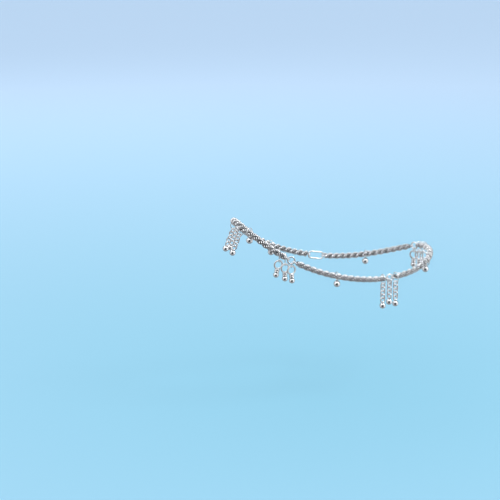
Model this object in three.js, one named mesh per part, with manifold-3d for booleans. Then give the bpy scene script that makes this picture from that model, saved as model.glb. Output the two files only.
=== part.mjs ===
// Payal anklet in silver: a loop of rope chain in five lengths that joining rings and a
// plain clasp hold together, with ball drops, ring drops and chain tassels hanging from it.
// Millimetres, +Z up. The loop stands open as it is worn, its front (the instep) at -X, its
// heel at +X and its outer side at -Y, round an origin at the middle of the ankle.

import * as THREE from 'three';
import { mergeVertices } from 'three/addons/utils/BufferGeometryUtils.js';
import Module from 'manifold-3d';

// The loop, along the middle of the rope: a slightly squared ellipse in plan, high over the
// instep, low at both sides and a little higher again at the heel
const LOOP_LENGTH = 102.6;
const LOOP_WIDTH = 50.6;
const LOOP_SQUARENESS_FRACTION = 0.026;
const FRONT_HEIGHT = 18.7;
const SIDE_HEIGHT = -8.2;
const HEEL_HEIGHT = -2.4;

// What sits at each equal step round the loop. The first is a fraction of a step from the
// front, back along the inner side, and the rest follow along the outer side to the heel
// and round to the front again.
const STATIONS = ['tassel', 'ball', 'rings', 'ball', 'tassel', 'ball', 'rings', 'ball', 'clasp', 'ball'];
const FIRST_STATION_FRACTION = -0.63;

// Rope chain: two strands laid round each other
const ROPE_DIAMETER = 3.3;
const ROPE_GROOVE_DEPTH = 0.55;
const ROPE_TURN = 6.7;
const ROPE_SECTION_POINTS = 8;
const ROPE_STEPS_PER_TURN = 7;

// Round rings that join the rope's lengths, and the eyes at the ends of each length
const JOINING_RING_DIAMETER = 4.2;
const JOINING_RING_WIRE = 0.75;
const EYE_WIRE = 0.5;
const CLASP_LENGTH = 9;

// Bails: thin rings round the rope, or through a joining ring, that carry the drops
const BAIL_WIRE = 0.4;
const BAIL_SIDE_GAP = 0.3;
const BAIL_TOP_GAP = 0.2;

// Ball drop: one ball soldered under its bail, each a little off the middle between the
// trios beside it
const BALL_DIAMETER = 3.2;
const BALL_BAIL_ROOM = 0.15;
const BALL_SHIFTS = [2.1, -2.1, -1.3, 0, 0];

// Ring drop: an open ring over a collar and a ball, two on the rope and one in the joining
// ring that follows them. Each swings back along the rope by its own angle.
const RING_SPACING = 3.35;
const RING_DIAMETER = 4.85;
const RING_WIRE = 0.8;
const RING_HANG = 1.05;
const RING_YAW = THREE.MathUtils.degToRad(25);
const RING_SWINGS = [12, 1, -3].map((degrees) => THREE.MathUtils.degToRad(degrees));
const COLLAR_DIAMETER = 2.4;
const COLLAR_HEIGHT = 2;
const COLLAR_CHAMFER = 0.3;
const RING_BALL_DIAMETER = 2.75;

// Tassel: three strands of round links, each with a ball at its end. The links turn to
// either side of one direction, STRAND_FACE from +X.
const TASSEL_SPACING = 3.7;
const LINK_DIAMETER = 3.1;
const LINK_WIRE = 0.7;
const LINKS_PER_STRAND = 5;
const LINK_TURN = THREE.MathUtils.degToRad(38);
const STRAND_FACE = THREE.MathUtils.degToRad(-22);
const TASSEL_BALL_DIAMETER = 3;
const FRONT_TASSEL_LEAN = THREE.MathUtils.degToRad(22);

// Fits: the air between pieces that hang in each other, and the depth of a soldered seat
const LINK_GAP = 0.25;
const SOLDER = 0.15;

// Facets round small rings, large rings, wires and balls. Ring segments are two more than a
// multiple of four, so that a ring can be stretched between its two middle columns.
const SMALL_RING_SEGMENTS = 10;
const LARGE_RING_SEGMENTS = 14;
const WIRE_SIDES = 5;
const BALL_SEGMENTS = 10;
const BALL_BANDS = 6;

const UP = new THREE.Vector3(0, 0, 1);
const ROPE_RADIUS = ROPE_DIAMETER / 2;

const wasm = await Module();
wasm.setup();

// The middle line of the loop, closed, from the front round the outer side to the heel
class AnkleLoop extends THREE.Curve {
  constructor() {
    super();
    this.arcLengthDivisions = 1440;
  }

  getPoint(t, target = new THREE.Vector3()) {
    const angle = 2 * Math.PI * t;
    const ends = (FRONT_HEIGHT + HEEL_HEIGHT) / 2;
    const tilt = (FRONT_HEIGHT - HEEL_HEIGHT) / 2;
    const height = SIDE_HEIGHT + (ends - SIDE_HEIGHT) * Math.cos(angle) ** 2 + tilt * Math.cos(angle);
    const squareness = LOOP_SQUARENESS_FRACTION;
    const lengthways = (Math.cos(angle) - squareness * Math.cos(3 * angle)) / (1 - squareness);
    const sideways = (Math.sin(angle) + squareness * Math.sin(3 * angle)) / (1 - squareness);
    return target.set((-LOOP_LENGTH / 2) * lengthways, (-LOOP_WIDTH / 2) * sideways, height);
  }
}

const loop = new AnkleLoop();
const ropeLoopLength = loop.getLength();
const stationSpacing = ropeLoopLength / STATIONS.length;

// The rope's direction, its inward side and its own upward side at a distance along it
function ropeFrame(distance) {
  const share = THREE.MathUtils.euclideanModulo(distance / ropeLoopLength, 1);
  const point = loop.getPointAt(share);
  const tangent = loop.getTangentAt(share);
  const inward = new THREE.Vector3().crossVectors(UP, tangent).normalize();
  const upward = new THREE.Vector3().crossVectors(tangent, inward);
  return { point, tangent, inward, upward };
}

// Half the rope's height as a plumb line cuts it, more than its radius where the rope slopes
function ropeHalfHeight(distance) {
  const { tangent } = ropeFrame(distance);
  return ROPE_RADIUS / Math.hypot(tangent.x, tangent.y);
}

// The rope's direction as seen from above
function ropeCourse(distance) {
  const { tangent } = ropeFrame(distance);
  return new THREE.Vector3(tangent.x, tangent.y, 0).normalize();
}

// Where something hangs: x runs level along the rope, -z points down, or leans outwards
function hangingGroup(distance, lean = 0) {
  const { point, inward } = ropeFrame(distance);
  const along = ropeCourse(distance);
  const up = UP.clone().multiplyScalar(Math.cos(lean)).addScaledVector(inward, Math.sin(lean));
  const across = new THREE.Vector3().crossVectors(up, along);
  const group = new THREE.Group();
  group.position.copy(point);
  group.quaternion.setFromRotationMatrix(new THREE.Matrix4().makeBasis(along, across, up));
  return group;
}

// A closed mesh as a solid that can be joined: shared corners merged, empty triangles left out
function toSolid(geometry) {
  const bare = geometry.clone();
  bare.deleteAttribute('normal');
  bare.deleteAttribute('uv');
  const merged = mergeVertices(bare, 1e-4);
  const corners = merged.index.array;
  const triangles = [];
  for (let i = 0; i < corners.length; i += 3) {
    const [a, b, c] = corners.subarray(i, i + 3);
    if (a !== b && b !== c && c !== a) triangles.push(a, b, c);
  }
  return new wasm.Manifold(new wasm.Mesh({
    numProp: 3,
    vertProperties: new Float32Array(merged.attributes.position.array),
    triVerts: new Uint32Array(triangles),
  }));
}

// Several closed meshes soldered into one
function solder(...geometries) {
  const joined = geometries.map(toSolid).reduce((whole, piece) => whole.add(piece));
  const mesh = joined.getMesh();
  const geometry = new THREE.BufferGeometry();
  geometry.setAttribute('position', new THREE.BufferAttribute(new Float32Array(mesh.vertProperties), 3));
  geometry.setIndex(new THREE.BufferAttribute(new Uint32Array(mesh.triVerts), 1));
  geometry.computeVertexNormals();
  return geometry;
}

function silverPiece(name, geometry) {
  const silver = new THREE.MeshStandardMaterial({ color: 0xd9dbdf, roughness: 0.18, metalness: 1 });
  const mesh = new THREE.Mesh(geometry, silver);
  mesh.name = name;
  return mesh;
}

// A ring of round wire by its outer width and height, lying in XY with straight sides where
// the height is more than the width
function wireRing(width, height, wire, segments, sides) {
  const geometry = new THREE.TorusGeometry((width - wire) / 2, wire / 2, sides, segments);
  geometry.rotateZ(Math.PI / 2);
  const position = geometry.attributes.position;
  const stretch = (height - width) / 2;
  for (let i = 0; i < position.count; i++) {
    const y = position.getY(i);
    position.setY(i, y + Math.sign(y) * stretch);
  }
  return geometry;
}

// The same ring upright, turned by yaw about the line that it hangs on, with its top at a height
function hangingRing({ width, height = width, wire, top, yaw = 0, segments, sides }) {
  const geometry = wireRing(width, height, wire, segments, sides);
  geometry.rotateX(Math.PI / 2);
  geometry.rotateZ(yaw);
  return geometry.translate(0, 0, top - height / 2);
}

function ball(diameter, top) {
  const geometry = new THREE.SphereGeometry(diameter / 2, BALL_SEGMENTS, BALL_BANDS);
  geometry.rotateX(Math.PI / 2);
  return geometry.translate(0, 0, top - diameter / 2);
}

// Rope chain

// Distance from the middle of a joining ring or clasp, with this reach along the rope, to
// the middle of the eye that hangs in it
const eyeRadius = JOINING_RING_WIRE / 2 + LINK_GAP + EYE_WIRE / 2;

function eyeDistance(reach) {
  return reach - JOINING_RING_WIRE - LINK_GAP - EYE_WIRE / 2 + eyeRadius;
}

// The section of the two strands together: wide across both, with a groove between them
function ropeSection() {
  const points = [];
  for (let i = 0; i < ROPE_SECTION_POINTS; i++) {
    const angle = (2 * Math.PI * i) / ROPE_SECTION_POINTS;
    const radius = ROPE_RADIUS - (ROPE_GROOVE_DEPTH / 2) * (1 - Math.cos(2 * angle));
    points.push(new THREE.Vector2(radius * Math.cos(angle), radius * Math.sin(angle)));
  }
  return new THREE.Shape(points);
}

// The section carried along the loop from one distance to another, turning left-handed
function ropeTwist(start, end) {
  const steps = Math.ceil(((end - start) / ROPE_TURN) * ROPE_STEPS_PER_TURN);
  const extent = { depth: end - start, steps, bevelEnabled: false };
  const geometry = new THREE.ExtrudeGeometry(ropeSection(), extent);
  const position = geometry.attributes.position;
  const corner = new THREE.Vector3();
  for (let i = 0; i < position.count; i++) {
    corner.fromBufferAttribute(position, i);
    const distance = start + corner.z;
    const { point, inward, upward } = ropeFrame(distance);
    const turned = new THREE.Vector2(corner.x, corner.y)
      .rotateAround(new THREE.Vector2(), (-2 * Math.PI * distance) / ROPE_TURN);
    point.addScaledVector(inward, turned.x).addScaledVector(upward, turned.y);
    position.setXYZ(i, point.x, point.y, point.z);
  }
  return geometry;
}

// A flat eye at a rope's end: it lies across the upright ring that it hangs in
function ropeEye(distance, offset) {
  const { point, tangent, inward, upward } = ropeFrame(distance);
  const width = 2 * eyeRadius + EYE_WIRE;
  const geometry = wireRing(width, width, EYE_WIRE, SMALL_RING_SEGMENTS, WIRE_SIDES);
  geometry.rotateZ(Math.PI / 2);
  geometry.applyMatrix4(new THREE.Matrix4().makeBasis(tangent, inward, upward));
  point.addScaledVector(tangent, offset);
  return geometry.translate(point.x, point.y, point.z);
}

// One length of rope between two stations, with an eye soldered in each end
function ropeLength(from, to) {
  const start = from.distance + eyeDistance(from.reach) + eyeRadius;
  const end = to.distance - eyeDistance(to.reach) - eyeRadius;
  return solder(ropeTwist(start, end), ropeEye(start, -eyeRadius), ropeEye(end, eyeRadius));
}

// A joining ring or the clasp: upright along the rope, leaning with what hangs from it
function joiningRing(name, distance, reach, lean) {
  const { point, tangent, inward } = ropeFrame(distance);
  const height = JOINING_RING_DIAMETER;
  const geometry = wireRing(height, 2 * reach, JOINING_RING_WIRE, LARGE_RING_SEGMENTS, WIRE_SIDES);
  const up = UP.clone().multiplyScalar(Math.cos(lean)).addScaledVector(inward, Math.sin(lean));
  const face = new THREE.Vector3().crossVectors(up, tangent).normalize();
  const side = new THREE.Vector3().crossVectors(tangent, face);
  const mesh = silverPiece(name, geometry);
  mesh.position.copy(point);
  mesh.quaternion.setFromRotationMatrix(new THREE.Matrix4().makeBasis(side, tangent, face));
  return mesh;
}

// Drops, each built round the middle of the rope that carries it, where the rope reaches
// half its height up and down

// A ring of bail wire across the rope's direction
function bailRing(width, top, bottom) {
  return hangingRing({
    width,
    height: top - bottom,
    wire: BAIL_WIRE,
    top,
    yaw: Math.PI / 2,
    segments: SMALL_RING_SEGMENTS,
    sides: WIRE_SIDES,
  });
}

const ropeBailWidth = ROPE_DIAMETER + 2 * BAIL_SIDE_GAP + 2 * BAIL_WIRE;

function ropeBailTop(halfHeight) {
  return halfHeight + BAIL_TOP_GAP + BAIL_WIRE;
}

// A bail round the rope, reaching down to a height
function ropeBail(halfHeight, bottom) {
  return bailRing(ropeBailWidth, ropeBailTop(halfHeight), bottom);
}

const innerBottomOfJoiningRing = JOINING_RING_WIRE - JOINING_RING_DIAMETER / 2;
const eyeBailWidth = Math.max(JOINING_RING_WIRE, RING_WIRE) + 2 * LINK_GAP + 2 * BAIL_WIRE;

// The bail of a ring drop: a round one with a small eye soldered under it on the rope, or
// the small eye by itself where it hangs in a joining ring
function ringDropBail(halfHeight, bottom, isOnRope) {
  if (!isOnRope) {
    return bailRing(eyeBailWidth, innerBottomOfJoiningRing + LINK_GAP + BAIL_WIRE, bottom);
  }
  const roundBottom = ropeBailTop(halfHeight) - Math.max(ropeBailWidth, 2 * ropeBailTop(halfHeight));
  const eyeTop = Math.max(roundBottom + BAIL_WIRE / 2 + SOLDER, bottom + eyeBailWidth);
  return solder(ropeBail(halfHeight, roundBottom), bailRing(eyeBailWidth, eyeTop, bottom));
}

function ballDrop(halfHeight) {
  const bailBottom = -halfHeight - BALL_BAIL_ROOM - BAIL_WIRE;
  return solder(ropeBail(halfHeight, bailBottom), ball(BALL_DIAMETER, bailBottom + SOLDER));
}

// The collar between a drop's ring and its ball: a short drum with chamfered ends
function collar(top) {
  const radius = COLLAR_DIAMETER / 2;
  const profile = [
    new THREE.Vector2(0, -COLLAR_HEIGHT),
    new THREE.Vector2(radius - COLLAR_CHAMFER, -COLLAR_HEIGHT),
    new THREE.Vector2(radius, -COLLAR_HEIGHT + COLLAR_CHAMFER),
    new THREE.Vector2(radius, -COLLAR_CHAMFER),
    new THREE.Vector2(radius - COLLAR_CHAMFER, 0),
    new THREE.Vector2(0, 0),
  ];
  const geometry = new THREE.LatheGeometry(profile, BALL_SEGMENTS);
  geometry.rotateX(Math.PI / 2);
  return geometry.translate(0, 0, top);
}

function ringDrop(top, swing) {
  const ring = hangingRing({
    width: RING_DIAMETER,
    wire: RING_WIRE,
    top,
    yaw: RING_YAW,
    segments: LARGE_RING_SEGMENTS,
    sides: WIRE_SIDES,
  });
  const collarTop = top - RING_DIAMETER + RING_WIRE / 2;
  const endBall = ball(RING_BALL_DIAMETER, collarTop - COLLAR_HEIGHT + SOLDER);
  const pivot = top - RING_WIRE / 2;
  return solder(ring, collar(collarTop), endBall)
    .translate(0, 0, -pivot)
    .rotateY(swing)
    .translate(0, 0, pivot);
}

const linkPitch = LINK_DIAMETER - 2 * LINK_WIRE + SOLDER;

// A strand of round links and a ball, with each link turned to the other side of yaw from
// the one above it
function tasselStrand(top, yaw, turn) {
  const pieces = [];
  for (let i = 0; i < LINKS_PER_STRAND; i++) {
    pieces.push(hangingRing({
      width: LINK_DIAMETER,
      wire: LINK_WIRE,
      top: top - i * linkPitch,
      yaw: i % 2 === 0 ? yaw + turn : yaw - turn,
      segments: SMALL_RING_SEGMENTS,
      sides: WIRE_SIDES,
    }));
  }
  const lastLinkBottom = top - (LINKS_PER_STRAND - 1) * linkPitch - LINK_DIAMETER;
  pieces.push(ball(TASSEL_BALL_DIAMETER, lastLinkBottom + SOLDER));
  return solder(...pieces);
}

const middleStrandTop = innerBottomOfJoiningRing + LINK_GAP + LINK_WIRE;

// The turn from the rope's direction that leaves a strand's links even about STRAND_FACE
function strandYaw(distance) {
  const course = ropeCourse(distance);
  return STRAND_FACE - Math.atan2(course.y, course.x);
}

// The whole anklet, station by station

const anklet = new THREE.Group();
const counts = { tassel: 0, ball: 0, rings: 0, joining: 0 };

function hang(distance, lean, ...pieces) {
  const group = hangingGroup(distance, lean);
  group.add(...pieces);
  anklet.add(group);
}

function addBallDrop(distance) {
  counts.ball += 1;
  const drop = ballDrop(ropeHalfHeight(distance));
  hang(distance, 0, silverPiece(`ball_drop_${counts.ball}`, drop));
}

function addRingCluster(distance) {
  counts.rings += 1;
  const name = `ring_cluster_${counts.rings}`;
  [-2 * RING_SPACING, -RING_SPACING, 0].forEach((offset, i) => {
    const isOnRope = offset !== 0;
    const halfHeight = ropeHalfHeight(distance + offset);
    const dropTop = isOnRope ? -halfHeight - RING_HANG : -JOINING_RING_DIAMETER / 2 - LINK_GAP;
    const bailBottom = dropTop - RING_WIRE - LINK_GAP - BAIL_WIRE;
    const bail = ringDropBail(halfHeight, bailBottom, isOnRope);
    hang(
      distance + offset,
      0,
      silverPiece(`${name}_bail_${i + 1}`, bail),
      silverPiece(`${name}_drop_${i + 1}`, ringDrop(dropTop, RING_SWINGS[i])),
    );
  });
}

function addTassel(distance, lean) {
  counts.tassel += 1;
  const name = `tassel_${counts.tassel}`;
  [-TASSEL_SPACING, TASSEL_SPACING].forEach((offset, i) => {
    const halfHeight = ropeHalfHeight(distance + offset);
    const strandTop = -halfHeight - LINK_GAP;
    const bailBottom = strandTop - LINK_WIRE - LINK_GAP - BAIL_WIRE;
    hang(
      distance + offset,
      lean,
      silverPiece(`${name}_bail_${i + 1}`, ropeBail(halfHeight, bailBottom)),
      silverPiece(
        `${name}_side_strand_${i + 1}`,
        tasselStrand(strandTop, strandYaw(distance), LINK_TURN),
      ),
    );
  });
  const middle = tasselStrand(middleStrandTop, strandYaw(distance), -LINK_TURN);
  hang(distance, lean, silverPiece(`${name}_middle_strand`, middle));
}

const joints = [];

STATIONS.forEach((kind, index) => {
  const distance = (FIRST_STATION_FRACTION + index) * stationSpacing;
  if (kind === 'ball') {
    addBallDrop(distance + BALL_SHIFTS[counts.ball]);
    return;
  }
  const lean = index === 0 ? FRONT_TASSEL_LEAN : 0;
  const reach = (kind === 'clasp' ? CLASP_LENGTH : JOINING_RING_DIAMETER) / 2;
  joints.push({ distance, reach });
  if (kind === 'clasp') {
    anklet.add(joiningRing('clasp', distance, reach, lean));
    return;
  }
  counts.joining += 1;
  anklet.add(joiningRing(`joining_ring_${counts.joining}`, distance, reach, lean));
  if (kind === 'tassel') addTassel(distance, lean);
  if (kind === 'rings') addRingCluster(distance);
});

joints.forEach((from, i) => {
  const isLast = i === joints.length - 1;
  const to = isLast ? { ...joints[0], distance: joints[0].distance + ropeLoopLength } : joints[i + 1];
  anklet.add(silverPiece(`rope_length_${i + 1}`, ropeLength(from, to)));
});

export default anklet;
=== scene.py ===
"""Looks of a silver payal anklet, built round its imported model, in metres.

The anklet is a loop of rope chain in five lengths, held together by joining rings and an
oval clasp, with ball drops, ring drops and chain tassels hanging from it. Every piece is a
surface worked out with numpy at the place and size of the solid that it stands for.
"""

import logging
import math
from dataclasses import dataclass, field
from enum import Enum

import bpy
import numpy as np
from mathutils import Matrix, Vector

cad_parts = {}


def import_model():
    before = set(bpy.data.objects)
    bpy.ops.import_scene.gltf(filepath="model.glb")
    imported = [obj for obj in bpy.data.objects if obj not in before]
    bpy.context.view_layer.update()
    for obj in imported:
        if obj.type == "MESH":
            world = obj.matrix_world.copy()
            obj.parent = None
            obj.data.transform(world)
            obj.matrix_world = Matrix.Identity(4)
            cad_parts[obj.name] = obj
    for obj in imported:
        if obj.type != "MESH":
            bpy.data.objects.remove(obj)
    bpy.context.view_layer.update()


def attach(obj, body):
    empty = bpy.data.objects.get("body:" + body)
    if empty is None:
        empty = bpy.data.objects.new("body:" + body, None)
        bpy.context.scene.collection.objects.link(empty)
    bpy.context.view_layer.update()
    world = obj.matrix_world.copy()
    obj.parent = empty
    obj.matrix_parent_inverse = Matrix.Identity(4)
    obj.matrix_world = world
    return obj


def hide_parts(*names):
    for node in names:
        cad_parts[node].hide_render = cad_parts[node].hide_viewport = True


LOG = logging.getLogger("anklet")
BODY = "root"
MM = 0.001
SEED = 31
UP = np.array([0.0, 0.0, 1.0])
# Recess on the inner side of a ring's wire: a little painted shade.
INNER_RECESS = 0.25
SOLDER_RECESS = 0.75

Array = np.ndarray


class Slot(Enum):
    """The record's material slots."""

    CHAIN = "chain_silver"
    POLISHED = "polished_silver"


class Station(Enum):
    """What sits at a step of the loop."""

    TASSEL = "tassel"
    BALL = "ball"
    RINGS = "rings"
    CLASP = "clasp"


def unit(vectors: Array) -> Array:
    """Vectors scaled to length one along the last axis."""
    return vectors / np.linalg.norm(vectors, axis=-1, keepdims=True)


@dataclass
class Shell:
    """Closed surfaces gathered into one mesh.

    Corners are rows of x, y and z. Faces are rows of four corner numbers, where a face at a
    pole repeats its last one. Recess is one number a corner, from 0 on an open face to 1
    deep in a groove, where the silver is painted darker, as shade in grooves and as solder at
    joints, and polish doesn't reach.
    """

    corners: Array = field(default_factory=lambda: np.zeros((0, 3)))
    faces: Array = field(default_factory=lambda: np.zeros((0, 4), int))
    recess: Array = field(default_factory=lambda: np.zeros(0))

    def add(self, other: "Shell") -> "Shell":
        """Adds another shell's surfaces to this one.

        Args:
            other: The other shell.

        Returns:
            This one.
        """
        self.faces = np.vstack([self.faces, other.faces + len(self.corners)])
        self.corners = np.vstack([self.corners, other.corners])
        self.recess = np.concatenate([self.recess, other.recess])
        return self

    def placed(self, origin: Array, basis: Array) -> "Shell":
        """A copy carried into a frame: its x, y and z run along the rows of basis."""
        return Shell(origin + self.corners @ basis, self.faces, self.recess)

    def as_object(self, name: str, slot: Slot, material: bpy.types.Material) -> bpy.types.Object:
        """Makes the Blender object, shaded smooth, that rides on the anklet.

        Args:
            name: Name of the piece.
            slot: The record's slot for the piece; not used.
            material: Its silver.

        Returns:
            The object, at the origin, with its place in its mesh.
        """
        triangles = self.faces[:, 2] == self.faces[:, 3]
        mesh = bpy.data.meshes.new(name)
        quads = self.faces[~triangles]
        fans = self.faces[triangles][:, :3]
        loops = np.concatenate([quads.ravel(), fans.ravel()])
        counts = np.concatenate([np.full(len(quads), 4), np.full(len(fans), 3)])
        mesh.vertices.add(len(self.corners))
        mesh.vertices.foreach_set("co", self.corners.astype(np.float32).ravel())
        mesh.loops.add(len(loops))
        mesh.loops.foreach_set("vertex_index", loops.astype(np.int32))
        mesh.polygons.add(len(counts))
        starts = np.concatenate([[0], np.cumsum(counts)[:-1]])
        mesh.polygons.foreach_set("loop_start", starts.astype(np.int32))
        mesh.polygons.foreach_set("use_smooth", np.ones(len(counts), bool))
        groove = mesh.attributes.new("recess", "FLOAT", "POINT")
        groove.data.foreach_set("value", self.recess.astype(np.float32))
        mesh.update(calc_edges=True)
        mesh.validate()
        mesh.materials.append(material)
        piece = bpy.data.objects.new(name, mesh)
        bpy.context.scene.collection.objects.link(piece)
        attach(piece, BODY)
        LOG.info("%s: %d corners, %d faces", name, len(self.corners), len(self.faces))
        return piece


def wrap_faces(count: int, around: int, sides: int) -> Array:
    """Faces of several grids that close on themselves in both directions.

    Args:
        count: How many grids.
        around: Steps round each ring.
        sides: Steps round its wire.

    Returns:
        Rows of four corner numbers.
    """
    ring, i, j = np.meshgrid(np.arange(count), np.arange(around), np.arange(sides), indexing="ij")
    base = ring * around * sides
    next_i, next_j = (i + 1) % around, (j + 1) % sides
    here, ahead = base + i * sides, base + next_i * sides
    return np.stack([here + j, ahead + j, ahead + next_j, here + next_j], -1).reshape(-1, 4)


def wire_ring(
    width: float, height: float, wire: float, around: int = 28, sides: int = 12
) -> Shell:
    """A ring of round wire in the XY plane.

    Each point of the wire's middle line is on a circle of radius (width - wire) / 2, moved
    up or down by half of what the height has over the width, so that the sides are straight.
    A circle of the wire's radius turns round that line, from straight outwards towards z.

    Args:
        width: The ring's outer width, along x.
        height: Its outer height, along y.
        wire: The wire's diameter.
        around: Steps round the ring.
        sides: Steps round the wire.

    Returns:
        The ring, whose inner side is a little recessed, so that it is painted a little darker as
        shade.
    """
    turn = 2 * math.pi * (np.arange(around) + 0.5) / around
    roll = 2 * math.pi * np.arange(sides) / sides
    outward = np.stack([np.cos(turn), np.sin(turn), np.zeros(around)], -1)
    middle = outward * (width - wire) / 2
    middle[:, 1] += np.sign(middle[:, 1]) * (height - width) / 2
    reach = outward[:, None, :] * np.cos(roll)[None, :, None] + UP * np.sin(roll)[None, :, None]
    corners = middle[:, None, :] + reach * wire / 2
    recess = np.broadcast_to(INNER_RECESS * (1 - np.cos(roll)) / 2, (around, sides))
    return Shell(corners.reshape(-1, 3), wrap_faces(1, around, sides), recess.ravel())


def upright_ring(
    width: float,
    wire: float,
    top: float,
    height: float | None = None,
    yaw: float = 0.0,
    around: int = 28,
) -> Shell:
    """A wire ring stood upright on the plumb line.

    Args:
        width: Its outer width.
        wire: The wire's diameter.
        top: The height of its top.
        height: Its outer height, or None where that is its width.
        yaw: Its turn about the plumb line.
        around: Steps round the ring.

    Returns:
        The ring.
    """
    tall = width if height is None else height
    ring = wire_ring(width, tall, wire, around)
    level = np.array([math.cos(yaw), math.sin(yaw), 0.0])
    face = np.array([math.sin(yaw), -math.cos(yaw), 0.0])
    return ring.placed(np.array([0.0, 0.0, top - tall / 2]), np.stack([level, UP, face]))


def turned(profile: Array, recess: Array, around: int = 32) -> Shell:
    """A solid of revolution about the plumb line, closed at both poles.

    Args:
        profile: Rows of radius and height from the top pole to the bottom one, whose own
            radii are zero.
        recess: One number for each row.
        around: Steps round it.

    Returns:
        The surface: at turn t a row lies at radius * cos t, radius * sin t, height.
    """
    turn = 2 * math.pi * np.arange(around) / around
    radius, height = profile[1:-1, 0], profile[1:-1, 1]
    x, y = np.outer(radius, np.cos(turn)), np.outer(radius, np.sin(turn))
    rows = np.stack([x, y, np.broadcast_to(height[:, None], x.shape)], -1).reshape(-1, 3)
    top, bottom = len(rows), len(rows) + 1
    poles = np.array([[0, 0, profile[0, 1]], [0, 0, profile[-1, 1]]])
    i, j = np.meshgrid(np.arange(len(radius) - 1), np.arange(around), indexing="ij")
    next_j = (j + 1) % around
    here, below = i * around, (i + 1) * around
    body = np.stack([here + j, below + j, below + next_j, here + next_j], -1)
    first, after = np.arange(around), (np.arange(around) + 1) % around
    last = (len(radius) - 1) * around
    upper = np.stack([np.full(around, top), first, after, after], -1)
    lower = np.stack([np.full(around, bottom), last + after, last + first, last + first], -1)
    marks = np.concatenate([np.repeat(recess[1:-1], around), recess[[0, -1]]])
    return Shell(np.vstack([rows, poles]), np.vstack([body.reshape(-1, 4), upper, lower]), marks)


@dataclass(frozen=True)
class AnkleLoop:
    """The middle line of the rope as worn: a squared ellipse in plan, high at the front."""

    length: float = 102.6 * MM
    width: float = 50.6 * MM
    squareness: float = 0.026
    front_height: float = 18.7 * MM
    side_height: float = -8.2 * MM
    back_height: float = -2.4 * MM
    divisions: int = 7200

    def points(self, angle: Array) -> Array:
        """Points at angles from the front, by the outer side.

        x is minus half the length times the cosine, y minus half the width times the sine,
        both squared off by a little of the angle's third harmonic. z is the side height,
        plus what the two ends have over it times the cosine squared, plus half of what the
        front has over the back times the cosine.

        Args:
            angle: Angles in radians.

        Returns:
            Rows of x, y and z.
        """
        ends = (self.front_height + self.back_height) / 2
        tilt = (self.front_height - self.back_height) / 2
        cosine = np.cos(angle)
        height = self.side_height + (ends - self.side_height) * cosine**2 + tilt * cosine
        lengthways = (cosine - self.squareness * np.cos(3 * angle)) / (1 - self.squareness)
        sideways = (np.sin(angle) + self.squareness * np.sin(3 * angle)) / (1 - self.squareness)
        return np.stack([-self.length / 2 * lengthways, -self.width / 2 * sideways, height], -1)

    def arc_table(self) -> tuple[Array, Array]:
        """The loop cut into small steps.

        Returns:
            Angles round the loop, and the distance along it at each.
        """
        angle = np.linspace(0, 2 * math.pi, self.divisions + 1)
        steps = np.linalg.norm(np.diff(self.points(angle), axis=0), axis=1)
        return angle, np.concatenate([[0], np.cumsum(steps)])

    def total(self) -> float:
        """The rope's whole length round the loop."""
        return float(self.arc_table()[1][-1])

    def frames(self, distance: Array) -> tuple[Array, Array, Array, Array]:
        """Where the rope is at distances along it.

        Args:
            distance: Distances from the front, of either sign.

        Returns:
            Points, tangents, inward directions, which are level, and the rope's own up.
        """
        table_angle, table_distance = self.arc_table()
        angle = np.interp(np.mod(distance, table_distance[-1]), table_distance, table_angle)
        nudge = 1e-4
        tangent = unit(self.points(angle + nudge) - self.points(angle - nudge))
        inward = unit(np.cross(UP, tangent))
        return self.points(angle), tangent, inward, np.cross(tangent, inward)

    def hanging(self, distance: float, lean: float = 0.0) -> tuple[Array, Array]:
        """The frame of something that hangs: x level along the rope and -z down, leant out.

        Args:
            distance: Where it hangs.
            lean: How far its lower end swings outwards.

        Returns:
            Its origin, and its x, y and z as rows.
        """
        point, _, inward, _ = (row[0] for row in self.frames(np.array([distance])))
        along = np.cross(inward, UP)
        up = UP * math.cos(lean) + inward * math.sin(lean)
        return point, np.stack([along, np.cross(up, along), up])

    def half_height(self, distance: float, radius: float) -> float:
        """Half the rope's height on a plumb line, which is more where the rope slopes."""
        tangent = self.frames(np.array([distance]))[1][0]
        return radius / math.hypot(tangent[0], tangent[1])

    def course(self, distance: float) -> float:
        """The rope's direction seen from above, as an angle from +x."""
        tangent = self.frames(np.array([distance]))[1][0]
        return math.atan2(tangent[1], tangent[0])


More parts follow.
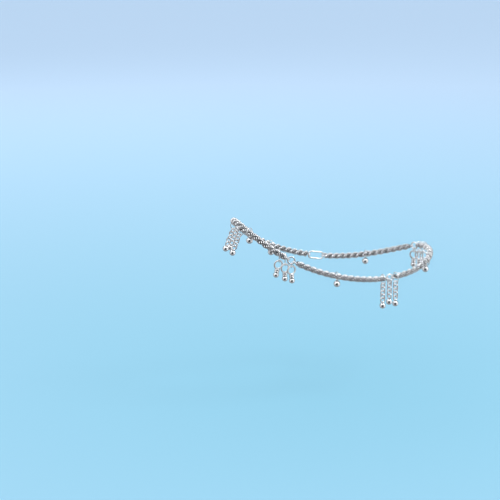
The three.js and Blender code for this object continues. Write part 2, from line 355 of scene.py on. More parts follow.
@dataclass(frozen=True)
class Silver:
    """A silver finish: its colour, polish, tarnish, painted shade and the fine marks of wear.

    Depth is the recess plus a share of a cloudy noise. The darker colour and dullness grow with
    it,
    each over its own range: the recess's share of that colour is painted shade in grooves and
    between rings, and the noise's share is tarnish.
    """

    name: str
    colour: tuple[float, float, float]
    shade_and_tarnish_colour: tuple[float, float, float]
    roughness: float
    dull: float
    shade_and_tarnish_depth: float
    mark_size: float
    mark_depth: float
    mark_detail: float = 6.0
    mark_roughness: float = 0.65
    bump_strength: float = 0.5
    cloud_scale: float = 420.0
    cloud_detail: float = 4.0
    cloud_share: float = 0.5
    shade_and_tarnish_range: tuple[float, float] = (0.62, 1.02)
    dull_range: tuple[float, float] = (0.3, 1.3)

    def build(self) -> bpy.types.Material:
        """Makes the material from Object coordinates and the piece's recess attribute.

        Returns:
            The material.
        """
        material = bpy.data.materials.new(self.name)
        material.use_nodes = True
        tree = material.node_tree
        nodes, links = tree.nodes, tree.links
        shader = nodes["Principled BSDF"]
        shader.inputs["Metallic"].default_value = 1.0
        place = nodes.new("ShaderNodeTexCoord")

        recess = nodes.new("ShaderNodeAttribute")
        recess.attribute_name = "recess"
        cloud = nodes.new("ShaderNodeTexNoise")
        cloud.inputs["Scale"].default_value = self.cloud_scale
        cloud.inputs["Detail"].default_value = self.cloud_detail
        links.new(place.outputs["Object"], cloud.inputs["Vector"])

        depth = nodes.new("ShaderNodeMath")
        depth.operation = "MULTIPLY_ADD"
        links.new(cloud.outputs["Fac"], depth.inputs[0])
        depth.inputs[1].default_value = self.cloud_share
        links.new(recess.outputs["Fac"], depth.inputs[2])
        # Painted shade: the recess mixes the colour towards a dark one in grooves and between
        # rings, and the cloudy noise adds tarnish.
        shade_and_tarnish_share = nodes.new("ShaderNodeMapRange")
        shade_and_tarnish_share.interpolation_type = "SMOOTHSTEP"
        shade_and_tarnish_share.inputs["From Min"].default_value = self.shade_and_tarnish_range[0]
        shade_and_tarnish_share.inputs["From Max"].default_value = self.shade_and_tarnish_range[1]
        shade_and_tarnish_share.inputs["To Min"].default_value = 0.0
        shade_and_tarnish_share.inputs["To Max"].default_value = self.shade_and_tarnish_depth
        links.new(depth.outputs["Value"], shade_and_tarnish_share.inputs["Value"])
        tint = nodes.new("ShaderNodeMix")
        tint.data_type = "RGBA"
        tint.inputs["A"].default_value = (*self.colour, 1.0)
        tint.inputs["B"].default_value = (*self.shade_and_tarnish_colour, 1.0)
        links.new(shade_and_tarnish_share.outputs["Result"], tint.inputs["Factor"])
        links.new(tint.outputs["Result"], shader.inputs["Base Color"])

        polish = nodes.new("ShaderNodeMapRange")
        polish.inputs["From Min"].default_value = self.dull_range[0]
        polish.inputs["From Max"].default_value = self.dull_range[1]
        polish.inputs["To Min"].default_value = self.roughness
        polish.inputs["To Max"].default_value = self.dull
        links.new(depth.outputs["Value"], polish.inputs["Value"])
        links.new(polish.outputs["Result"], shader.inputs["Roughness"])

        marks = nodes.new("ShaderNodeTexNoise")
        marks.inputs["Scale"].default_value = 1.0 / self.mark_size
        marks.inputs["Detail"].default_value = self.mark_detail
        marks.inputs["Roughness"].default_value = self.mark_roughness
        links.new(place.outputs["Object"], marks.inputs["Vector"])
        bump = nodes.new("ShaderNodeBump")
        bump.inputs["Strength"].default_value = self.bump_strength
        bump.inputs["Distance"].default_value = self.mark_depth
        links.new(marks.outputs["Fac"], bump.inputs["Height"])
        links.new(bump.outputs["Normal"], shader.inputs["Normal"])
        return material


# The chain's near-black at depth is painted shade between its rings and in the rope's middle, with
# some tarnish.
CHAIN_SILVER = Silver(
    name="chain_silver",
    colour=(0.93, 0.935, 0.945),
    shade_and_tarnish_colour=(0.035, 0.038, 0.045),
    roughness=0.11,
    dull=0.36,
    shade_and_tarnish_depth=0.95,
    mark_size=0.25 * MM,
    mark_depth=0.006 * MM,
)
POLISHED_SILVER = Silver(
    name="polished_silver",
    colour=(0.95, 0.955, 0.96),
    shade_and_tarnish_colour=(0.22, 0.23, 0.26),
    roughness=0.07,
    dull=0.30,
    shade_and_tarnish_depth=0.7,
    mark_size=0.4 * MM,
    mark_depth=0.004 * MM,
)


@dataclass
class Workshop:
    """The loop, the finishes and the wire sizes that the sub-assemblies share."""

    loop: AnkleLoop
    materials: dict[Slot, bpy.types.Material]
    rope_diameter: float = 3.3 * MM
    ring_diameter: float = 4.2 * MM
    ring_wire: float = 0.75 * MM
    eye_wire: float = 0.5 * MM
    bail_wire: float = 0.4 * MM
    bail_side_gap: float = 0.3 * MM
    bail_top_gap: float = 0.2 * MM
    link_gap: float = 0.25 * MM
    solder: float = 0.15 * MM

    def hang(self, name: str, slot: Slot, distance: float, lean: float, shell: Shell) -> None:
        """Places a piece worked out round its hanging point, and puts it for its solid."""
        placed = shell.placed(*self.loop.hanging(distance, lean))
        self.stand_for(placed.as_object(name, slot, self.materials[slot]), name)

    def stand_for(self, piece: bpy.types.Object, node: str) -> None:
        """Names the solid that a piece replaces."""
        piece.name = f"{node}_silver"
        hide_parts(node)

    def half_height(self, distance: float) -> float:
        """Half the rope's height on the plumb line at a distance."""
        return self.loop.half_height(distance, self.rope_diameter / 2)

    def bail_top(self, half_height: float) -> float:
        """How high a bail stands over the rope's middle."""
        return half_height + self.bail_top_gap + self.bail_wire

    def bail_width(self) -> float:
        """The outer width of a bail round the rope."""
        return self.rope_diameter + 2 * self.bail_side_gap + 2 * self.bail_wire

    def bail(self, width: float, top: float, bottom: float) -> Shell:
        """A ring of bail wire across the rope's direction."""
        return upright_ring(width, self.bail_wire, top, top - bottom, math.pi / 2, around=24)

    def rope_bail(self, half_height: float, bottom: float) -> Shell:
        """A bail round the rope that reaches down to a height."""
        return self.bail(self.bail_width(), self.bail_top(half_height), bottom)

    def inner_bottom(self) -> float:
        """The height of a joining ring's lowest inner point."""
        return self.ring_wire - self.ring_diameter / 2


def ball(diameter: float, top: float, neck: float, rows: int = 18) -> Shell:
    """A ball with the small neck of solder that it hangs by.

    The ball's radius at an angle from its top is its own radius times the sine. Near the top
    the profile is held out to a neck that flares as a quarter circle into the ball.

    Args:
        diameter: The ball's diameter.
        top: The height of the ball's top.
        neck: The neck's radius where it is thinnest.
        rows: Steps from pole to pole.

    Returns:
        The ball, with solder darkening its neck.
    """
    radius = diameter / 2
    flare_width, neck_rise = 0.6 * neck, 0.55 * neck
    angle = np.linspace(0, math.pi, rows + 1)
    start = math.asin(min(1.0, (neck + flare_width) / radius))
    kept = angle[angle > start]
    flare = np.linspace(0, math.pi / 2, 5)
    foot = radius * math.cos(start)
    rise = foot + neck_rise
    neck_radius = neck + flare_width * (1 - np.cos(flare))
    neck_height = rise - (rise - foot) * np.sin(flare)
    profile = np.vstack([
        [[0, rise]],
        np.stack([neck_radius, neck_height], -1),
        np.stack([radius * np.sin(kept), radius * np.cos(kept)], -1)[:-1],
        [[0, -radius]],
    ])
    profile[:, 1] += top - radius
    recess = np.zeros(len(profile))
    recess[1:len(flare) + 1] = SOLDER_RECESS
    return turned(profile, recess)


@dataclass
class RopeChain:
    """Rope chain: oval rings in two strands that are laid round each other, left-handed.

    A strand's middle circles the rope's middle line once in a turn of the lay. The rings
    lean forward along the strand, each over the next, as scales do.
    """

    shop: Workshop
    lay: float = 6.7 * MM
    ring_pitch: float = 0.75 * MM
    ring_length: float = 2.2 * MM
    ring_width: float = 1.9 * MM
    wire: float = 0.55 * MM
    lean: float = math.radians(55)
    wobble: float = math.radians(4)
    around: int = 14
    sides: int = 6
    core_radius: float = 0.75 * MM
    core_waist: float = 0.3
    recess_reach: float = 1.2

    def core(self, start: float, end: float, steps_per_turn: int = 14, sides: int = 12) -> Shell:
        """The inner parts of the rings that fill the rope's middle, as a tube painted dark for the
        shade there.

        It is a tube along the rope. At an angle from the strands' own direction its radius
        is the core's, less the waist's share of it times the sine squared, and the section
        turns with the lay.

        Args:
            start: Distance at which it begins.
            end: Distance at which it ends.
            steps_per_turn: Steps along it in a turn of the lay.
            sides: Steps round it.

        Returns:
            The core, recessed all over, so that it is painted in the dark shade colour.
        """
        steps = max(4, round((end - start) / self.lay * steps_per_turn))
        distance = np.linspace(start, end, steps + 1)
        point, _, inward, upward = self.shop.loop.frames(distance)
        angle = 2 * math.pi * np.arange(sides) / sides
        radius = self.core_radius * (1 - self.core_waist * np.sin(angle) ** 2)
        turn = angle[None, :] - 2 * math.pi * distance[:, None] / self.lay
        cosine, sine = np.cos(turn)[..., None], np.sin(turn)[..., None]
        radial = cosine * inward[:, None, :] + sine * upward[:, None, :]
        rows = (point[:, None, :] + radius[None, :, None] * radial).reshape(-1, 3)
        i, j = np.meshgrid(np.arange(steps), np.arange(sides), indexing="ij")
        next_j = (j + 1) % sides
        here, ahead = i * sides, (i + 1) * sides
        wall = np.stack([here + j, ahead + j, ahead + next_j, here + next_j], -1)
        near, far = len(rows), len(rows) + 1
        first, after = np.arange(sides), (np.arange(sides) + 1) % sides
        last = steps * sides
        caps = [
            np.stack([np.full(sides, near), first, after, after], -1),
            np.stack([np.full(sides, far), last + after, last + first, last + first], -1),
        ]
        corners = np.vstack([rows, point[[0, -1]]])
        return Shell(corners, np.vstack([wall.reshape(-1, 4), *caps]), np.ones(len(corners)))

    def strand(self, start: float, end: float, phase: float, rng: np.random.Generator) -> Shell:
        """One strand's rings between two distances.

        A ring's middle is the rope's point at its distance, plus the strand's offset in the
        direction that the lay has turned to. Its long axis is the strand's own direction,
        raised outwards by the lean, and its short axis runs across the strand, both tipped
        at random by a few degrees. A point of its wire is the middle, plus cosine and sine
        of an angle times the two half axes, plus the wire's radius round that line. The
        recess is the recess reach less the share of the rope's radius that a point is out.

        Args:
            start: Distance at which the strand begins.
            end: Distance at which it ends.
            phase: Its turn round the rope at distance nought.
            rng: Source of the rings' small tilts.

        Returns:
            The rings of the strand.
        """
        wire = self.wire / 2
        length, width = (self.ring_length - self.wire) / 2, (self.ring_width - self.wire) / 2
        offset = self.shop.rope_diameter / 2 - length * math.sin(self.lean) - wire
        slope = 2 * math.pi * offset / self.lay
        count = max(2, round((end - start) * math.hypot(1, slope) / self.ring_pitch))
        inset = length * math.cos(self.lean) / math.hypot(1, slope)
        distance = np.linspace(start + inset, end - inset, count)
        point, tangent, inward, upward = self.shop.loop.frames(distance)
        turn = (phase - 2 * math.pi * distance / self.lay)[:, None]
        radial = np.cos(turn) * inward + np.sin(turn) * upward
        sideways = -np.sin(turn) * inward + np.cos(turn) * upward
        course = unit(tangent - slope * sideways)
        across = unit(np.cross(radial, course))
        tip = rng.normal(0, self.wobble, (count, 2))
        raised = math.cos(self.lean) * course + math.sin(self.lean) * radial
        first = unit(raised + tip[:, :1] * across)
        second = unit(across - np.sum(across * first, -1, keepdims=True) * first)
        normal = np.cross(first, second)
        second = unit(second + tip[:, 1:] * normal)
        normal = np.cross(first, second)
        middle = point + offset * radial

        angle = 2 * math.pi * np.arange(self.around) / self.around
        roll = 2 * math.pi * np.arange(self.sides) / self.sides
        cosine, sine = np.cos(angle)[None, :, None], np.sin(angle)[None, :, None]
        lengthways, crossways = cosine * first[:, None, :], sine * second[:, None, :]
        line = middle[:, None, :] + length * lengthways + width * crossways
        outward = unit(width * lengthways + length * crossways)
        reach = (
            np.cos(roll)[None, None, :, None] * outward[:, :, None, :]
            + np.sin(roll)[None, None, :, None] * normal[:, None, None, :]
        )
        corners = line[:, :, None, :] + wire * reach
        # Painted shade: wire nearer the rope's middle gets more recess, so it is painted darker.
        from_axis = np.linalg.norm(corners - point[:, None, None, :], axis=-1)
        share = from_axis / (self.shop.rope_diameter / 2)
        recess = np.clip(self.recess_reach - share, 0, 1)
        faces = wrap_faces(count, self.around, self.sides)
        return Shell(corners.reshape(-1, 3), faces, recess.ravel())

    def eye(self, distance: float, offset: float) -> Shell:
        """The eye at an end of the rope, lying across the ring that it hangs in.

        Args:
            distance: Where the rope ends.
            offset: From there to the eye's middle, forwards along the rope.

        Returns:
            The eye, flat in the rope's own level.
        """
        width = 2 * self.eye_radius() + self.shop.eye_wire
        frames = self.shop.loop.frames(np.array([distance]))
        point, tangent, inward, upward = (row[0] for row in frames)
        ring = wire_ring(width, width, self.shop.eye_wire, around=24, sides=10)
        return ring.placed(point + offset * tangent, np.stack([tangent, inward, upward]))

    def eye_radius(self) -> float:
        """The radius of an eye's middle line."""
        return self.shop.ring_wire / 2 + self.shop.link_gap + self.shop.eye_wire / 2

    def eye_distance(self, reach: float) -> float:
        """From the middle of a ring with this reach to the middle of the eye in it."""
        clearance = self.shop.ring_wire + self.shop.link_gap + self.shop.eye_wire / 2
        return reach - clearance + self.eye_radius()

    def build(
        self, name: str, near: tuple[float, float], far: tuple[float, float], seed: int
    ) -> None:
        """Makes one length of rope between two rings.

        Args:
            name: The solid that it stands for.
            near: Distance and reach of the ring that it starts from.
            far: The same for the ring that it ends at.
            seed: Its own seed for the rings' small tilts.
        """
        rng = np.random.default_rng(seed)
        start = near[0] + self.eye_distance(near[1]) + self.eye_radius()
        end = far[0] - self.eye_distance(far[1]) - self.eye_radius()
        shell = self.strand(start, end, 0.0, rng).add(self.strand(start, end, math.pi, rng))
        shell.add(self.core(start + self.wire, end - self.wire))
        shell.add(self.eye(start, -self.eye_radius())).add(self.eye(end, self.eye_radius()))
        piece = shell.as_object(name, Slot.CHAIN, self.shop.materials[Slot.CHAIN])
        self.shop.stand_for(piece, name)


@dataclass
class JoiningRing:
    """An upright ring that joins two lengths of rope, or the oval clasp."""

    shop: Workshop

    def build(self, name: str, distance: float, reach: float, lean: float) -> None:
        """Makes the ring along the rope, leaning with what hangs from it.

        Args:
            name: The solid that it stands for.
            distance: Where its middle is along the rope.
            reach: Half its outer length along the rope.
            lean: How far it leans outwards.
        """
        frames = self.shop.loop.frames(np.array([distance]))
        point, tangent, inward, _ = (row[0] for row in frames)
        up = UP * math.cos(lean) + inward * math.sin(lean)
        face = unit(np.cross(up, tangent))
        side = np.cross(tangent, face)
        width, wire = self.shop.ring_diameter, self.shop.ring_wire
        ring = wire_ring(width, 2 * reach, wire, around=44, sides=14)
        placed = ring.placed(point, np.stack([side, tangent, face]))
        piece = placed.as_object(name, Slot.POLISHED, self.shop.materials[Slot.POLISHED])
        self.shop.stand_for(piece, name)


@dataclass
class BallDrop:
    """One ball under its bail."""

    shop: Workshop
    diameter: float = 3.2 * MM
    bail_room: float = 0.15 * MM
    neck: float = 0.42 * MM

    def build(self, name: str, distance: float) -> None:
        """Makes the drop.

        Args:
            name: The solid that it stands for.
            distance: Where it hangs along the rope.
        """
        half = self.shop.half_height(distance)
        bottom = -half - self.bail_room - self.shop.bail_wire
        shell = self.shop.rope_bail(half, bottom)
        shell.add(ball(self.diameter, bottom + self.shop.solder, self.neck))
        self.shop.hang(name, Slot.POLISHED, distance, 0.0, shell)


@dataclass
class RingCluster:
    """Three ring drops in a row: a bail, then an open ring over a collar and a ball."""

    shop: Workshop
    spacing: float = 3.35 * MM
    diameter: float = 4.85 * MM
    wire: float = 0.8 * MM
    below_rope: float = 1.05 * MM
    yaw: float = math.radians(25)
    swings: tuple[float, ...] = (math.radians(12), math.radians(1), math.radians(-3))
    collar_diameter: float = 2.4 * MM
    collar_height: float = 2 * MM
    collar_edge: float = 0.3 * MM
    collar_groove: float = 0.02
    groove_recess: float = 0.8
    end_recess: float = 0.2
    ball_diameter: float = 2.75 * MM
    neck: float = 0.5 * MM

    def collar(self, top: float) -> Shell:
        """The drum between ring and ball: two rounded bands with a groove between them.

        Each band's radius is the collar's at its middle and falls by the edge times the
        fourth power of the share of the way to the band's own edge. The second band begins
        a small share of its height below the first.

        Args:
            top: The height of the collar's top.

        Returns:
            The collar, recessed in its groove and at its edges, where it is painted darker as
            shade.
        """
        share = np.linspace(-1, 1, 9)
        rounding = share**4
        band = self.collar_diameter / 2 - self.collar_edge * rounding
        half = self.collar_height / 2
        fall = -(share + 1) / 2 * half
        height = np.concatenate([fall, fall - half])
        height[len(share)] -= self.collar_groove * half
        wall = np.stack([np.concatenate([band, band]), height], -1)
        profile = np.vstack([[[0, 0]], wall, [[0, -self.collar_height]]])
        profile[:, 1] += top
        ends = [self.end_recess]
        # Painted shade in the groove between the bands and at their edges.
        recess = np.concatenate([ends, self.groove_recess * np.tile(rounding, 2), ends])
        return turned(profile, recess)

    def drop(self, top: float, swing: float) -> Shell:
        """The ring, the collar and the ball of one drop, swung back about the ring's top wire.

        Args:
            top: Height of the ring's top before the swing.
            swing: How far the ball swings back along the rope.

        Returns:
            The drop, turned about a level line across the rope.
        """
        shell = upright_ring(self.diameter, self.wire, top, yaw=self.yaw, around=40)
        collar_top = top - self.diameter + self.wire / 2
        ball_top = collar_top - self.collar_height + self.shop.solder
        shell.add(self.collar(collar_top)).add(ball(self.ball_diameter, ball_top, self.neck))
        pivot = top - self.wire / 2
        down = np.array([math.sin(swing), 0.0, math.cos(swing)])
        along = np.array([math.cos(swing), 0.0, -math.sin(swing)])
        basis = np.stack([along, np.array([0.0, 1.0, 0.0]), down])
        return shell.placed(pivot * (UP - down), basis)

    def eye_width(self) -> float:
        """The outer width of the small eye that a drop's ring hangs in."""
        thickest = max(self.shop.ring_wire, self.wire)
        return thickest + 2 * self.shop.link_gap + 2 * self.shop.bail_wire

    def drop_bail(self, half: float, bottom: float, on_rope: bool) -> Shell:
        """A round bail with a small eye under it, or the small eye alone in a joining ring.

        Args:
            half: Half the rope's height on the plumb line.
            bottom: The height of the eye's lowest point.
            on_rope: Whether it hangs on the rope, and not in a joining ring.

        Returns:
            The bail.
        """
        shop = self.shop
        if not on_rope:
            ring_top = shop.inner_bottom() + shop.link_gap + shop.bail_wire
            return shop.bail(self.eye_width(), ring_top, bottom)
        top = shop.bail_top(half)
        round_bottom = top - max(shop.bail_width(), 2 * top)
        eye_top = max(round_bottom + shop.bail_wire / 2 + shop.solder, bottom + self.eye_width())
        return shop.rope_bail(half, round_bottom).add(shop.bail(self.eye_width(), eye_top, bottom))

    def build(self, name: str, distance: float) -> None:
        """Makes two bails and drops on the rope, and a third in the ring that follows.

        Args:
            name: What the names of their solids begin with.
            distance: Where that ring is along the rope.
        """
        shop = self.shop
        for number, offset in enumerate((-2 * self.spacing, -self.spacing, 0.0), 1):
            place = distance + offset
            half = shop.half_height(place)
            on_rope = offset != 0
            top = -half - self.below_rope if on_rope else -shop.ring_diameter / 2 - shop.link_gap
            bottom = top - self.wire - shop.link_gap - shop.bail_wire
            bail = self.drop_bail(half, bottom, on_rope)
            shop.hang(f"{name}_bail_{number}", Slot.POLISHED, place, 0.0, bail)
            drop = self.drop(top, self.swings[number - 1])
            shop.hang(f"{name}_drop_{number}", Slot.POLISHED, place, 0.0, drop)


@dataclass
class Tassel:
    """Three strands of round links, each with a ball at its end."""

    shop: Workshop
    spacing: float = 3.7 * MM
    link_diameter: float = 3.1 * MM
    link_wire: float = 0.7 * MM
    links: int = 5
    link_turn: float = math.radians(38)
    face: float = math.radians(-22)
    ball_diameter: float = 3 * MM
    neck: float = 0.4 * MM

    def strand(self, top: float, yaw: float, turn: float) -> Shell:
        """One strand: links that turn to either side in turn, and a ball.

        Args:
            top: The height of its top.
            yaw: The turn about the plumb line that its links stand to either side of.
            turn: How far the first link stands to one side of it.

        Returns:
            The strand, soldered link to link.
        """
        pitch = self.link_diameter - 2 * self.link_wire + self.shop.solder
        shell = Shell()
        for i in range(self.links):
            side = yaw + turn if i % 2 == 0 else yaw - turn
            shell.add(upright_ring(self.link_diameter, self.link_wire, top - i * pitch, yaw=side))
        last = top - (self.links - 1) * pitch - self.link_diameter
        return shell.add(ball(self.ball_diameter, last + self.shop.solder, self.neck))

    def build(self, name: str, distance: float, lean: float) -> None:
        """Makes the bails and strands round a joining ring.

        Args:
            name: What the names of their solids begin with.
            distance: Where that ring is along the rope.
            lean: How far the strands swing outwards.
        """
        shop = self.shop
        yaw = self.face - shop.loop.course(distance)
        for number, offset in enumerate((-self.spacing, self.spacing), 1):
            place = distance + offset
            half = shop.half_height(place)
            top = -half - shop.link_gap
            bottom = top - self.link_wire - shop.link_gap - shop.bail_wire
            bail = shop.rope_bail(half, bottom)
            shop.hang(f"{name}_bail_{number}", Slot.POLISHED, place, lean, bail)
            strand = self.strand(top, yaw, self.link_turn)
            shop.hang(f"{name}_side_strand_{number}", Slot.CHAIN, place, lean, strand)
        top = shop.inner_bottom() + shop.link_gap + self.link_wire
        middle = self.strand(top, yaw, -self.link_turn)
        shop.hang(f"{name}_middle_strand", Slot.CHAIN, distance, lean, middle)


@dataclass
class Anklet:
    """The whole anklet, station by station round the loop."""

    shop: Workshop
    stations: tuple[Station, ...] = (
        Station.TASSEL, Station.BALL, Station.RINGS, Station.BALL, Station.TASSEL,
        Station.BALL, Station.RINGS, Station.BALL, Station.CLASP, Station.BALL,
    )
    first_station: float = -0.63
    ball_shifts: tuple[float, ...] = (2.1 * MM, -2.1 * MM, -1.3 * MM, 0.0, 0.0)
    front_lean: float = math.radians(22)
    clasp_length: float = 9 * MM

    def build(self) -> None:
        """Makes every piece."""
        shop = self.shop
        total = shop.loop.total()
        spacing = total / len(self.stations)
        balls, rings, tassels = BallDrop(shop), RingCluster(shop), Tassel(shop)
        joiner, rope = JoiningRing(shop), RopeChain(shop)
        counts = dict.fromkeys(Station, 0)
        joints: list[tuple[float, float]] = []
        for index, kind in enumerate(self.stations):
            distance = (self.first_station + index) * spacing
            counts[kind] += 1
            count = counts[kind]
            if kind is Station.BALL:
                balls.build(f"ball_drop_{count}", distance + self.ball_shifts[count - 1])
                continue
            is_clasp = kind is Station.CLASP
            lean = self.front_lean if index == 0 else 0.0
            reach = (self.clasp_length if is_clasp else shop.ring_diameter) / 2
            joints.append((distance, reach))
            ring_name = "clasp" if is_clasp else f"joining_ring_{len(joints)}"
            joiner.build(ring_name, distance, reach, lean)
            if kind is Station.TASSEL:
                tassels.build(f"tassel_{count}", distance, lean)
            elif kind is Station.RINGS:
                rings.build(f"ring_cluster_{count}", distance)
        closing = (joints[0][0] + total, joints[0][1])
        for number, (near, far) in enumerate(zip(joints, [*joints[1:], closing]), 1):
            rope.build(f"rope_length_{number}", near, far, SEED + number)


@dataclass(frozen=True)
class Panel:
    """A soft panel of the room that the silver mirrors.

    Its direction is given along the camera's right and straight up. It starts to glow where
    the cosine between a direction and its own passes start, and glows fully from full on.
    """

    right: float
    up: float
    start: float
    full: float
    power: float


@dataclass(frozen=True)
class Softbox:
    """A square soft light that faces the anklet."""

    name: str
    place: tuple[float, float, float]
    size: float
    power: float

    def build(self) -> None:
        """Makes the light."""
        data = bpy.data.lights.new(self.name, "AREA")
        data.shape = "SQUARE"
        data.size = self.size
        data.energy = self.power
        light = bpy.data.objects.new(self.name, data)
        light.location = self.place
        light.rotation_mode = "QUATERNION"
        light.rotation_quaternion = (-Vector(self.place)).to_track_quat("-Z", "Y")
        bpy.context.scene.collection.objects.link(light)


@dataclass
class Studio:
    """A pale floor painted darker near the anklet as shade, soft lights, a soft sky and the
    camera.
    """

    floor_height: float = -70 * MM
    floor_radius: float = 4.0
    floor_steps: int = 96
    # The floor's darker colour near the middle is painted shade, paler far away.
    floor_near: tuple[float, float, float] = (0.24, 0.55, 0.71)
    floor_far: tuple[float, float, float] = (0.54, 0.73, 0.95)
    floor_fade: float = 1.0
    floor_roughness: float = 0.7
    floor_gloss: float = 0.2
    sky_colour: tuple[float, float, float] = (0.94, 0.97, 1.0)
    sky_strength: float = 0.95
    room_colour: tuple[float, float, float] = (0.93, 0.96, 1.0)
    room_strength: float = 0.03
    panels: tuple[Panel, ...] = (
        Panel(right=0, up=1, start=0.40, full=0.72, power=1.2),
        Panel(right=1, up=0, start=0.46, full=0.78, power=0.9),
        Panel(right=-1, up=0, start=0.50, full=0.82, power=0.6),
        Panel(right=0, up=-1, start=0.48, full=0.80, power=0.3),
    )
    lights: tuple[Softbox, ...] = (
        Softbox("key_light", (0.55, -0.35, 0.75), size=0.35, power=2.4),
        Softbox("fill_light", (-0.8, -0.25, 0.45), size=0.5, power=1.0),
        Softbox("back_light", (0.0, 0.8, 0.6), size=0.6, power=1.2),
    )
    azimuth: float = math.radians(22.2)
    elevation: float = math.radians(14)
    distance: float = 0.9
    pixels: int = 500
    metres_per_pixel: float = 0.5 * MM
    origin_pixel: tuple[float, float] = (333.0, 249.5)
    sensor: float = 36.0

    def look(self) -> Vector:
        """The direction in which the camera looks."""
        level, fall = math.cos(self.elevation), math.sin(self.elevation)
        return Vector((math.sin(self.azimuth) * level, math.cos(self.azimuth) * level, -fall))

    def right(self) -> Vector:
        """The level direction to the camera's right."""
        return self.look().cross(Vector((0, 0, 1))).normalized()

    def camera(self) -> None:
        """Sets the camera, aimed so that the anklet's origin falls on its pixel."""
        data = bpy.data.cameras.new("camera")
        data.sensor_width = self.sensor
        data.lens = self.distance / self.metres_per_pixel * self.sensor / self.pixels
        camera = bpy.data.objects.new("camera", data)
        camera.location = -self.look() * self.distance
        above = self.right().cross(self.look())
        aside = (self.pixels / 2 - self.origin_pixel[0]) * self.metres_per_pixel
        lift = (self.origin_pixel[1] - self.pixels / 2) * self.metres_per_pixel
        aim = self.look() * self.distance + self.right() * aside + above * lift
        camera.rotation_mode = "QUATERNION"
        camera.rotation_quaternion = aim.to_track_quat("-Z", "Y")
        bpy.context.scene.collection.objects.link(camera)
        bpy.context.scene.camera = camera

    def floor(self) -> None:
        """A round floor whose colour goes from blue to a paler blue with the distance: the darker
        blue near the anklet is painted shade.
        """
        steps = self.floor_steps
        turn = np.linspace(0, 2 * math.pi, steps + 1)[:-1]
        rim = np.stack([np.cos(turn), np.sin(turn), np.zeros(steps)], -1) * self.floor_radius
        corners = np.vstack([rim, np.zeros((1, 3))]) + UP * self.floor_height
        first = np.arange(steps)
        faces = np.stack([first, (first + 1) % steps, np.full(steps, steps)], -1)
        mesh = bpy.data.meshes.new("floor")
        mesh.from_pydata(corners.tolist(), [], faces.tolist())
        floor = bpy.data.objects.new("floor", mesh)
        bpy.context.scene.collection.objects.link(floor)
        material = bpy.data.materials.new("pale_floor")
        material.use_nodes = True
        nodes, links = material.node_tree.nodes, material.node_tree.links
        shader = nodes["Principled BSDF"]
        shader.inputs["Roughness"].default_value = self.floor_roughness
        shader.inputs["Specular IOR Level"].default_value = self.floor_gloss
        place = nodes.new("ShaderNodeTexCoord")
        away = nodes.new("ShaderNodeVectorMath")
        away.operation = "LENGTH"
        links.new(place.outputs["Object"], away.inputs[0])
        share = nodes.new("ShaderNodeMapRange")
        share.inputs["From Min"].default_value = 0.0
        share.inputs["From Max"].default_value = self.floor_fade
        links.new(away.outputs["Value"], share.inputs["Value"])
        ramp = nodes.new("ShaderNodeMix")
        ramp.data_type = "RGBA"
        ramp.inputs["A"].default_value = (*self.floor_near, 1.0)
        ramp.inputs["B"].default_value = (*self.floor_far, 1.0)
        links.new(share.outputs["Result"], ramp.inputs["Factor"])
        links.new(ramp.outputs["Result"], shader.inputs["Base Color"])
        mesh.materials.append(material)
        floor.visible_glossy = False

    def glow(self, tree: bpy.types.NodeTree, panel: Panel) -> bpy.types.NodeSocket:
        """A panel's light by direction.

        Args:
            tree: The world's nodes.
            panel: The panel.

        Returns:
            The output that holds its strength.
        """
        place = tree.nodes.new("ShaderNodeTexCoord")
        facing = tree.nodes.new("ShaderNodeVectorMath")
        facing.operation = "DOT_PRODUCT"
        facing.inputs[1].default_value = self.right() * panel.right + Vector((0, 0, panel.up))
        tree.links.new(place.outputs["Generated"], facing.inputs[0])
        light = tree.nodes.new("ShaderNodeMapRange")
        light.interpolation_type = "SMOOTHSTEP"
        light.inputs["From Min"].default_value = panel.start
        light.inputs["From Max"].default_value = panel.full
        light.inputs["To Min"].default_value = 0.0
        light.inputs["To Max"].default_value = panel.power
        tree.links.new(facing.outputs["Value"], light.inputs["Value"])
        return light.outputs["Result"]

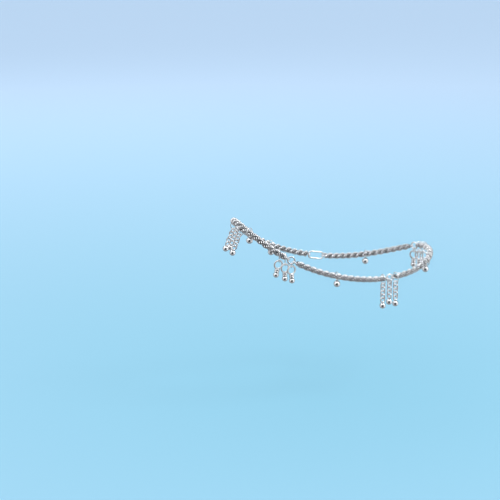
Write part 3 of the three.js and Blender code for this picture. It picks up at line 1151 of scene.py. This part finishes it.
    @staticmethod
    def joined(
        tree: bpy.types.NodeTree,
        operation: str,
        first: bpy.types.NodeSocket,
        second: bpy.types.NodeSocket,
    ) -> bpy.types.NodeSocket:
        """Two outputs of the world's nodes brought together.

        Args:
            tree: The world's nodes.
            operation: The Math node's operation.
            first: One output.
            second: The other.

        Returns:
            The output that holds both.
        """
        both = tree.nodes.new("ShaderNodeMath")
        both.operation = operation
        tree.links.new(first, both.inputs[0])
        tree.links.new(second, both.inputs[1])
        return both.outputs["Value"]

    def sky(self) -> None:
        """Makes soft pale light from all round, and a darker room that only the silver mirrors.

        The room has a bright ceiling, a bright wall at either hand and a dim floor.
        """
        world = bpy.data.worlds.new("studio")
        world.use_nodes = True
        bpy.context.scene.world = world
        tree = world.node_tree
        nodes, links = tree.nodes, tree.links
        nodes.clear()

        light = self.glow(tree, self.panels[0])
        for panel in self.panels[1:]:
            light = self.joined(tree, "MAXIMUM", light, self.glow(tree, panel))
        strength = nodes.new("ShaderNodeMath")
        strength.operation = "ADD"
        strength.inputs[1].default_value = self.room_strength
        links.new(light, strength.inputs[0])

        room = nodes.new("ShaderNodeBackground")
        room.inputs["Color"].default_value = (*self.room_colour, 1.0)
        links.new(strength.outputs["Value"], room.inputs["Strength"])
        plain = nodes.new("ShaderNodeBackground")
        plain.inputs["Color"].default_value = (*self.sky_colour, 1.0)
        plain.inputs["Strength"].default_value = self.sky_strength
        ray = nodes.new("ShaderNodeLightPath")
        either = nodes.new("ShaderNodeMixShader")
        links.new(ray.outputs["Is Glossy Ray"], either.inputs["Fac"])
        links.new(plain.outputs["Background"], either.inputs[1])
        links.new(room.outputs["Background"], either.inputs[2])
        out = nodes.new("ShaderNodeOutputWorld")
        links.new(either.outputs["Shader"], out.inputs["Surface"])

    def build(self) -> None:
        """Makes the camera, the floor, the sky and the lights."""
        bpy.context.scene.view_settings.view_transform = "Standard"
        self.camera()
        self.floor()
        self.sky()
        for light in self.lights:
            light.build()


def main() -> None:
    """Loads the frame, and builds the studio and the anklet."""
    logging.basicConfig(level=logging.INFO, format="%(message)s")
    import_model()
    Studio().build()
    materials = {Slot.CHAIN: CHAIN_SILVER.build(), Slot.POLISHED: POLISHED_SILVER.build()}
    Anklet(Workshop(AnkleLoop(), materials)).build()


if __name__ == "__main__":
    main()
